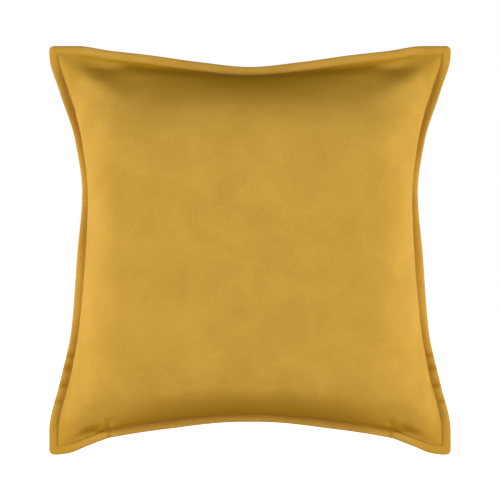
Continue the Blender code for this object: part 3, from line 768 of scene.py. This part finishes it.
def tube(path, sideways, radius, sides=5):
    """Rings of points round a path, and their faces, closed at both ends."""
    path = np.asarray(path)
    ahead = np.gradient(path, axis=0)
    ahead /= np.linalg.norm(ahead, axis=1, keepdims=True)
    side = sideways - (sideways * ahead).sum(1, keepdims=True) * ahead
    side /= np.linalg.norm(side, axis=1, keepdims=True)
    up = np.cross(ahead, side)
    turn = 2 * np.pi * np.arange(sides) / sides
    radius = np.broadcast_to(radius, len(path))[:, None, None]
    ring = side[:, None] * np.cos(turn)[None, :, None] + up[:, None] * np.sin(turn)[None, :, None]
    points = (path[:, None] + radius * ring).reshape(-1, 3)
    faces = []
    for k in range(len(path) - 1):
        for j in range(sides):
            a, b = k * sides + j, k * sides + (j + 1) % sides
            faces.append((a, b, b + sides, a + sides))
    first, last = range(sides), range(len(points) - sides, len(points))
    return points, [*faces, tuple(first)[::-1], tuple(last)]


def walk(path, pitch):
    """Places at even steps along a path, as positions in its list."""
    length = np.concatenate([[0], np.cumsum(np.linalg.norm(np.diff(path, axis=0), axis=1))])
    count = max(1, round(length[-1] / pitch))
    return np.interp(np.linspace(0, length[-1], count + 1), length, np.arange(len(path)))


def read_path(path, places):
    k = np.clip(places.astype(int), 0, len(path) - 2)
    t = (places - k)[:, None]
    return path[k] * (1 - t) + path[k + 1] * t


def stitch_row(name, path, outward, node, pitch):
    """A row of stitches along a path; outward is the way up, out of the cloth, at each point."""
    marks = walk(path, pitch)
    all_points, all_faces, count = [], [], 0
    for start, end in zip(marks[:-1], marks[1:]):
        at = start + (end - start) * STITCH_AT
        up = read_path(outward, at)
        up /= np.linalg.norm(up, axis=1, keepdims=True)
        line = read_path(path, at) + up * (THREAD / 2 + STITCH_RISE[:, None])
        points, faces = tube(line, np.cross(np.gradient(line, axis=0), up), STITCH_RADIUS)
        all_points.append(points)
        all_faces += [tuple(v + count for v in f) for f in faces]
        count += len(points)
    return new_piece(name, np.concatenate(all_points), all_faces, node, "thread")


# %% The seam round the cover
def ring_path(outer):
    """Closed path along the innermost ring of the flange."""
    edge = outer[RINGS - 1 : 1 - RINGS, RINGS - 1 : 1 - RINGS]
    path = edge.reshape(-1, 3)[border(*edge.shape[:2])]
    return np.concatenate([path, path[:1]])


for side, outer, word, node in (
    (-1, front_outer, "front", "needle_thread"),
    (1, back_outer, "back", "bobbin_thread"),
):
    path = ring_path(outer)
    outward = np.broadcast_to([0.0, side, 0.0], path.shape)
    stitch_row(f"seam_stitches_{word}", path, outward, node, 3.0 * MM)


# %% Two rows along the zip
ROW_END = 150.5 * MM
ROW_AT = 7.3 * MM  # from the middle of the zip


def zip_outward(s):
    """The way out of the cloth at s along the zip."""
    return zip_point(s, 0, 1) - zip_point(s, 0, 0)


for sign, word in ((1, "upper"), (-1, "lower")):
    s = np.linspace(-ROW_END, ROW_END, 400)
    path = zip_point(s, sign * ROW_AT, FOLD_LEVEL)
    stitch_row(f"zip_row_{word}", path, zip_outward(s), f"zip_stitch_{word}", 2.8 * MM)


# %% [markdown]
# ## Bar tacks
# A bar tack is a dense block of stitches across each end of the zip. It takes the pull when the zip
# is opened all the way. A zigzag of thread is laid back and forth between the two panels.

# %% Two bar tacks
TACK_AT = 162.7 * MM  # along the zip, from its middle
TACK_HALF = (1.1 * MM, 4.1 * MM)  # half its length along and across the zip
TACK_PASSES = 18

for sign, word in ((-1, "left"), (1, "right")):
    turns = np.arange(TACK_PASSES + 1)
    fine = np.linspace(0, TACK_PASSES, 8 * TACK_PASSES + 1)
    half_along, half_across = TACK_HALF
    s = np.interp(fine, turns, sign * TACK_AT + np.linspace(-half_along, half_along, len(turns)))
    lateral = np.interp(fine, turns, np.where(turns % 2 == 0, -half_across, half_across))
    level = FOLD_LEVEL + 0.28 * MM + 0.25 * MM * (1 - (lateral / (4.2 * MM)) ** 4)
    path = zip_point(s, lateral, level)
    sideways = np.cross(np.gradient(path, axis=0), zip_outward(s))
    new_piece(f"tack_{word}", *tube(path, sideways, 0.17 * MM, 6), f"bar_tack_{word}", "thread")


# %% [markdown]
# ## The zip
# A coil zip is two woven tapes, each with a spiral of nylon sewn along its edge. The tapes are thin
# closed strips that follow the zip's curve. Each coil is one long tube wound into flattened loops,
# the upper one half a turn ahead of the lower one so that their heads sit between each other.

# %% Tapes
TAPE_END = 165 * MM
TAPE_EDGES = (0.5 * MM, 10.2 * MM)  # from the middle of the zip
TAPE_HALF = 0.26 * MM

for sign, word in ((1, "upper"), (-1, "lower")):
    s = np.linspace(-TAPE_END, TAPE_END, 220)[:, None]
    lateral = sign * np.linspace(*TAPE_EDGES, 12)[None, :]
    top, under = zip_point(s, lateral, TAPE_HALF), zip_point(s, lateral, -TAPE_HALF)
    shell(f"tape_{word}", top, under, sign, f"zip_tape_{word}", "zip_tape")


# %% Coils
COIL_END = 145.2 * MM
COIL_PITCH = 1.5 * MM
COIL_MIDDLE = (1.42, 1.32)  # across the zip and out from the tape, in mm
COIL_HALF = (0.78, 0.42)


def flattened(wave):
    """A loop's wave with its round tops squared off a little."""
    return np.sign(wave) * np.abs(wave) ** 0.75


for sign, word in ((1, "upper"), (-1, "lower")):
    turns = int(2 * COIL_END / COIL_PITCH)
    phase = np.linspace(0, 2 * np.pi * turns, turns * 8 + 1)
    length = 2 * COIL_END - COIL_PITCH / 2
    s = -COIL_END + length * phase / phase[-1] + (sign > 0) * COIL_PITCH / 2
    lateral = sign * (COIL_MIDDLE[0] - COIL_HALF[0] * flattened(np.cos(phase))) * MM
    level = (COIL_MIDDLE[1] + COIL_HALF[1] * flattened(np.sin(phase))) * MM
    along_zip = zip_point(s + MM, 0, 0) - zip_point(s, 0, 0)
    wound = tube(zip_point(s, lateral, level), along_zip, 0.3 * MM, 6)
    new_piece(f"coil_{word}", *wound, f"zip_coil_{word}", "zip_coil")


# %% [markdown]
# ## Slider, pull and stops
# These are die-cast or stamped metal, and their CAD shape is already right. Their CAD meshes are
# loose triangles, so a copy is merged and its flat faces are joined, and then a small bevel rounds
# the edges, which is what makes metal catch the light.

# %% Rounded metal copies
def metal_copy(node, name, body, round_by):
    """A merged copy of a node's mesh, with its sharp edges rounded and no finish yet."""
    for other in bpy.context.selected_objects:
        other.select_set(False)
    mesh = nodes[node].data.copy()
    mesh.name = name
    mesh.materials.clear()
    piece = bpy.data.objects.new(name, mesh)
    bpy.context.collection.objects.link(piece)
    bpy.context.view_layer.objects.active = piece
    piece.select_set(True)
    bpy.ops.object.mode_set(mode="EDIT")
    bpy.ops.mesh.select_all(action="SELECT")
    bpy.ops.mesh.remove_doubles(threshold=0.004 * MM)
    bpy.ops.mesh.dissolve_limited(angle_limit=math.radians(3))
    bpy.ops.object.mode_set(mode="OBJECT")
    edge = piece.modifiers.new("round_edges", "BEVEL")
    edge.width = round_by
    edge.segments = 3
    edge.limit_method = "ANGLE"
    edge.angle_limit = math.radians(35)
    edge.use_clamp_overlap = True
    bpy.ops.object.modifier_apply(modifier=edge.name)
    bpy.ops.object.shade_smooth_by_angle(angle=math.radians(40))
    piece.select_set(False)
    stands_for(piece, node, "slider_metal", body)
    print(name, "faces:", len(piece.data.polygons))


metal_copy("zip_slider", "slider", "slider", 0.22 * MM)
metal_copy("zip_pull", "pull", "pull", 0.2 * MM)
for word in ("top_stop_upper", "top_stop_lower", "bottom_stop"):
    metal_copy(f"zip_{word}", word, "cover", 0.25 * MM)


# %% [markdown]
# ## Care label
# A blank satin tape, folded double, is caught in the side seam on the inside of the cover. Its two
# leaves lie pressed together, so they are one thin sheet that follows the back panel where the
# frame has the label, a hair away from the cloth.

# %% The label
LABEL_GAP = 1.2 * MM  # from the back panel's inner face
LABEL_THICK = 0.3 * MM
LABEL_IN = 8 * MM  # moved in from the side seam, where the stuffed cover is too thin
LABEL_BLUR = 2.5 * MM  # the leaf follows the cloth averaged over this distance


def label_leaf(source):
    """A smooth leaf over the points of the back panel near the label."""
    low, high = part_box("care_label")
    x = np.linspace(low[0], high[0], 40) + LABEL_IN
    z = np.linspace(low[2] + 1 * MM, high[2] - 1 * MM, 26)
    x, z = np.meshgrid(x, z)
    near = source[(source[:, 0] < -0.12) & (source[:, 2] > 0.09) & (source[:, 2] < 0.14)]
    y = np.empty(x.size)
    for n, (px, pz) in enumerate(zip(x.ravel(), z.ravel())):
        gap = (near[:, 0] - px) ** 2 + (near[:, 2] - pz) ** 2
        weight = np.exp(-gap / LABEL_BLUR**2)
        y[n] = (near[:, 1] * weight).sum() / weight.sum()
    return np.stack([x, y.reshape(x.shape) - LABEL_GAP, z], -1)


back_zipped = eased_to_zip(back_inner, FOLD_LEVEL - CLOTH)
leaf = label_leaf(back_zipped.reshape(-1, 3))
label = shell("label", leaf, leaf - np.array([0, LABEL_THICK, 0]), 1, "care_label", "label_satin")


# %% [markdown]
# ## The insert
# Inside the cover is a separate cushion: a thin casing of white bonded cloth, closed by an overlock
# seam, and full of soft fibre. It follows the inside of the cover with a hair of air between them.

# %% Casing and filling
ZIP_ROOM = 2.2 * MM  # the insert gives way by this for the tape and the slider


def inside(inner, side, shrink, gap):
    """The cover's inner face at half the fineness, drawn in from the seam and from the cloth."""
    body = inner[RINGS:-RINGS:2, RINGS:-RINGS:2].copy()
    middle_z = (CORNER_LOW + CORNER_HIGH) / 2
    body[..., 0] *= shrink
    body[..., 2] = middle_z + (body[..., 2] - middle_z) * shrink
    body[..., 1] = side * np.maximum((side * body[..., 1] - gap) * 0.97, 0.35 * MM)
    return body


near_zip = 1 - ease(0.012, 0.030, np.abs(back_zipped[..., 2] - ZIP_HEIGHT))
back_zipped[..., 1] -= near_zip * ZIP_ROOM
for side, inner, word in ((-1, front_inner, "front"), (1, back_zipped, "back")):
    out, into = inside(inner, side, 0.955, 1.0 * MM), inside(inner, side, 0.953, 1.4 * MM)
    into[..., 1] -= side * 0.25 * MM
    casing = shell(f"insert_{word}", out, into, side, f"insert_casing_{word}", "insert_cloth")

fill_front, fill_back = inside(front_inner, -1, 0.94, 3 * MM), inside(back_zipped, 1, 0.94, 3 * MM)
fill = shell("fibre_fill", fill_back, fill_front, 1, "insert_fill", "fibre")


# %% Overlock seam round the insert
LOOP_PITCH = 3.2 * MM
LOOP_POINTS = 6  # points in each loop of thread
LOOP_HALF = (0.9 * MM, 0.38 * MM)  # half a loop's size, across the edge and through it

edge = inside(front_inner, -1, 0.955, 1.0 * MM)
rim = edge.reshape(-1, 3)[border(*edge.shape[:2])]
rim = np.concatenate([rim, rim[:1]]) * np.array([1, 0, 1])
marks = walk(rim, LOOP_PITCH)
loops = len(marks) - 1
fine = np.interp(np.linspace(0, loops, LOOP_POINTS * loops + 1), np.arange(len(marks)), marks)
line = read_path(rim, fine)
outward = line - line.mean(axis=0)
outward /= np.linalg.norm(outward, axis=1, keepdims=True)
phase = 2 * np.pi * np.arange(len(line)) / LOOP_POINTS
line = line + outward * (LOOP_HALF[0] * (0.2 + np.cos(phase)))[:, None]
line[:, 1] += LOOP_HALF[1] * np.sin(phase)
thread = tube(line, np.broadcast_to([0.0, 1.0, 0.001], line.shape), 0.16 * MM, 5)
new_piece("insert_overlock", *thread, "insert_seam_thread", "insert_thread")


# %% [markdown]
# ## Suede cloth
# Faux suede has a very short pile. Close up it is a fine grain, and from further away it shows soft
# clouds where the pile lies in different directions, a little lighter or darker. One node group
# mixes grain and clouds from noise at two sizes, and the suede adds painted shade: a deeper colour
# from the painted shade values stored on the mesh.

# %% Node helpers
def new_material(name):
    material = bpy.data.materials.new(name)
    material.use_nodes = True
    return material, material.node_tree, material.node_tree.nodes["Principled BSDF"]


def node(tree, kind, **values):
    """A node with its inputs set by name."""
    made = tree.nodes.new(kind)
    for key, value in values.items():
        made.inputs[key.replace("_", " ")].default_value = value
    return made


def math_node(tree, how, a, b):
    made = tree.nodes.new("ShaderNodeMath")
    made.operation = how
    for k, value in enumerate((a, b)):
        if isinstance(value, (int, float)):
            made.inputs[k].default_value = value
        else:
            tree.links.new(value, made.inputs[k])
    return made.outputs[0]


def blend_colour(tree, factor, a, b):
    made = tree.nodes.new("ShaderNodeMix")
    made.data_type = "RGBA"
    for socket, value in ((made.inputs[0], factor), (made.inputs[6], a), (made.inputs[7], b)):
        if isinstance(value, (int, float, tuple)):
            socket.default_value = value
        else:
            tree.links.new(value, socket)
    return made.outputs[2]


def new_group(name, inputs, outputs):
    group = bpy.data.node_groups.new(name, "ShaderNodeTree")
    for label, kind, value in inputs:
        socket = group.interface.new_socket(label, in_out="INPUT", socket_type=f"NodeSocket{kind}")
        socket.default_value = value
    for label, kind in outputs:
        group.interface.new_socket(label, in_out="OUTPUT", socket_type=f"NodeSocket{kind}")
    given = group.nodes.new("NodeGroupInput").outputs
    return group, given, group.nodes.new("NodeGroupOutput").inputs


# %% Shared grain group
def make_grain():
    """Noise at two sizes: a fine grain and soft clouds."""
    group, given, out = new_group(
        "cloth_grain",
        (
            ("Light Colour", "Color", (1, 1, 1, 1)),
            ("Dark Colour", "Color", (0, 0, 0, 1)),
            ("Grain Size", "Float", 900.0),
            ("Cloud Size", "Float", 22.0),
            ("Grain Share", "Float", 0.5),
        ),
        (("Colour", "Color"), ("Height", "Float"), ("Mask", "Float")),
    )
    place = group.nodes.new("ShaderNodeTexCoord").outputs["Object"]
    grain = node(group, "ShaderNodeTexNoise", Detail=2.0, Roughness=0.6)
    cloud = node(group, "ShaderNodeTexNoise", Detail=3.0, Roughness=0.55, Distortion=0.4)
    for made, size in ((grain, "Grain Size"), (cloud, "Cloud Size")):
        group.links.new(place, made.inputs["Vector"])
        group.links.new(given[size], made.inputs["Scale"])
    wide = node(group, "ShaderNodeMapRange", From_Min=0.3, From_Max=0.7)
    group.links.new(cloud.outputs["Fac"], wide.inputs["Value"])
    part = math_node(group, "MULTIPLY", grain.outputs["Fac"], given["Grain Share"])
    rest = math_node(group, "SUBTRACT", 1.0, given["Grain Share"])
    whole = math_node(group, "ADD", part, math_node(group, "MULTIPLY", wide.outputs[0], rest))
    colour = blend_colour(group, whole, given["Dark Colour"], given["Light Colour"])
    group.links.new(colour, out["Colour"])
    group.links.new(grain.outputs["Fac"], out["Height"])
    group.links.new(whole, out["Mask"])
    return group


GRAIN = make_grain()


def grain_in(tree, shader, light, dark, sizes, share, rough):
    """Places the grain group: it feeds the colour and, between two values, the roughness."""
    made = tree.nodes.new("ShaderNodeGroup")
    made.node_tree = GRAIN
    values = (light, dark, *sizes, share)
    for socket, value in zip(made.inputs, values):
        socket.default_value = value
    tree.links.new(made.outputs["Colour"], shader.inputs["Base Color"])
    span = node(tree, "ShaderNodeMapRange", To_Min=rough[0], To_Max=rough[1])
    tree.links.new(made.outputs["Mask"], span.inputs["Value"])
    tree.links.new(span.outputs[0], shader.inputs["Roughness"])
    return made.outputs


def add_bump(tree, shader, height, strength, distance):
    bump = tree.nodes.new("ShaderNodeBump")
    bump.inputs["Strength"].default_value = strength
    bump.inputs["Distance"].default_value = distance
    tree.links.new(height, bump.inputs["Height"])
    tree.links.new(bump.outputs["Normal"], shader.inputs["Normal"])


# %% Suede for the cover
SUEDE_LIGHT = (0.680, 0.398, 0.068, 1)
SUEDE_DARK = (0.495, 0.275, 0.034, 1)
# colour of the painted shade, mixed into the suede where shade would fall
SUEDE_PAINTED_SHADE = (0.450, 0.222, 0.0, 1)


def make_suede():
    material, tree, shader = new_material("ochre_suede")
    grain = grain_in(tree, shader, SUEDE_LIGHT, SUEDE_DARK, (520.0, 24.0), 0.62, (0.95, 0.82))
    # painted shade: the suede is mixed towards its painted shade colour by the stored painted shade
    painted_shade = tree.nodes.new("ShaderNodeAttribute")
    painted_shade.attribute_name = "painted_shade"
    colour = blend_colour(tree, painted_shade.outputs["Fac"], grain["Colour"], SUEDE_PAINTED_SHADE)
    tree.links.new(colour, shader.inputs["Base Color"])
    shader.inputs["Specular IOR Level"].default_value = 0.05
    shader.inputs["Sheen Weight"].default_value = 0.06
    shader.inputs["Sheen Roughness"].default_value = 0.45
    shader.inputs["Sheen Tint"].default_value = (1.0, 0.72, 0.30, 1)
    add_bump(tree, shader, grain["Height"], 0.35, 0.6 * MM)
    return material


suede = make_suede()
for piece in (front_cover, back_upper, back_lower):
    piece.data.materials.append(suede)
print("suede on", suede.users, "panels")


# %% [markdown]
# ## The other finishes
# Thread, tape, coil, label, insert cloth and fibre are all cloth or nylon, and share the grain
# group with their own colours and sizes. Tape and label add a weave as crossed waves. The metal
# pieces are black enamel with a satin shine.

# %% Thread, coil and woven materials
def add_weave(tree, height, threads):
    """Crossed waves of threads, added to the grain's height."""
    place = tree.nodes.new("ShaderNodeTexCoord").outputs["Object"]
    bands = []
    for turn in (45, -45):
        mapping = tree.nodes.new("ShaderNodeMapping")
        mapping.inputs["Rotation"].default_value[1] = math.radians(turn)
        tree.links.new(place, mapping.inputs["Vector"])
        wave = node(tree, "ShaderNodeTexWave", Scale=threads, Distortion=0.3)
        tree.links.new(mapping.outputs[0], wave.inputs["Vector"])
        bands.append(wave.outputs["Fac"])
    return math_node(tree, "ADD", math_node(tree, "MULTIPLY", *bands), height)


def make_plain(name, light, dark, rough, sizes, bump, sheen=0.0, weave=0.0):
    material, tree, shader = new_material(name)
    span = (rough + 0.06, rough - 0.06)
    height = grain_in(tree, shader, (*light, 1), (*dark, 1), sizes, 0.5, span)["Height"]
    shader.inputs["Sheen Weight"].default_value = sheen
    if weave:
        height = add_weave(tree, height, weave)
    add_bump(tree, shader, height, 0.5, bump * MM)
    return material


OCHRE_THREAD = ((0.58, 0.31, 0.045), (0.42, 0.21, 0.02))  # light and dark colour
OCHRE_TAPE = ((0.50, 0.27, 0.04), (0.38, 0.19, 0.02))
OCHRE_NYLON = ((0.55, 0.30, 0.045), (0.45, 0.23, 0.03))
SATIN = ((0.86, 0.85, 0.82), (0.76, 0.75, 0.71))
BONDED = ((0.88, 0.88, 0.87), (0.76, 0.76, 0.75))
WHITE_THREAD = ((0.86, 0.86, 0.84), (0.70, 0.70, 0.68))
FLUFF = ((0.93, 0.93, 0.92), (0.78, 0.78, 0.76))
# slot: name, colours, roughness, grain and cloud size, bump in mm, sheen, weave
PLAIN = {
    "thread": ("ochre_thread", *OCHRE_THREAD, 0.6, (1800, 60), 0.2, 0.2),
    "zip_tape": ("ochre_tape", *OCHRE_TAPE, 0.8, (1500, 90), 0.3, 0.1, 700),
    "zip_coil": ("ochre_nylon", *OCHRE_NYLON, 0.36, (500, 40), 0.1),
    "label_satin": ("white_satin", *SATIN, 0.38, (900, 50), 0.1, 0.1, 1400),
    "insert_cloth": ("bonded_cloth", *BONDED, 0.9, (420, 70), 0.3, 0.1),
    "insert_thread": ("white_thread", *WHITE_THREAD, 0.6, (1800, 60), 0.2, 0.1),
    "fibre": ("fibre_fluff", *FLUFF, 0.95, (260, 35), 1.2, 0.4),
}
finishes = {slot: make_plain(*values) for slot, values in PLAIN.items()}


# %% Enamelled metal
ENAMEL_LIGHT = (0.050, 0.047, 0.044, 1)
ENAMEL_DARK = (0.022, 0.021, 0.020, 1)


def make_enamel():
    material, tree, shader = new_material("black_enamel")
    sizes = (1400.0, 160.0)
    grain = grain_in(tree, shader, ENAMEL_LIGHT, ENAMEL_DARK, sizes, 0.35, (0.42, 0.30))
    add_bump(tree, shader, grain["Height"], 0.15, 0.1 * MM)
    return material


finishes["slider_metal"] = make_enamel()
for piece in list(bpy.data.objects):
    slot = piece.get("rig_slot")
    if slot in finishes and not piece.data.materials:
        piece.data.materials.append(finishes[slot])
        print(piece.name, "is", finishes[slot].name)
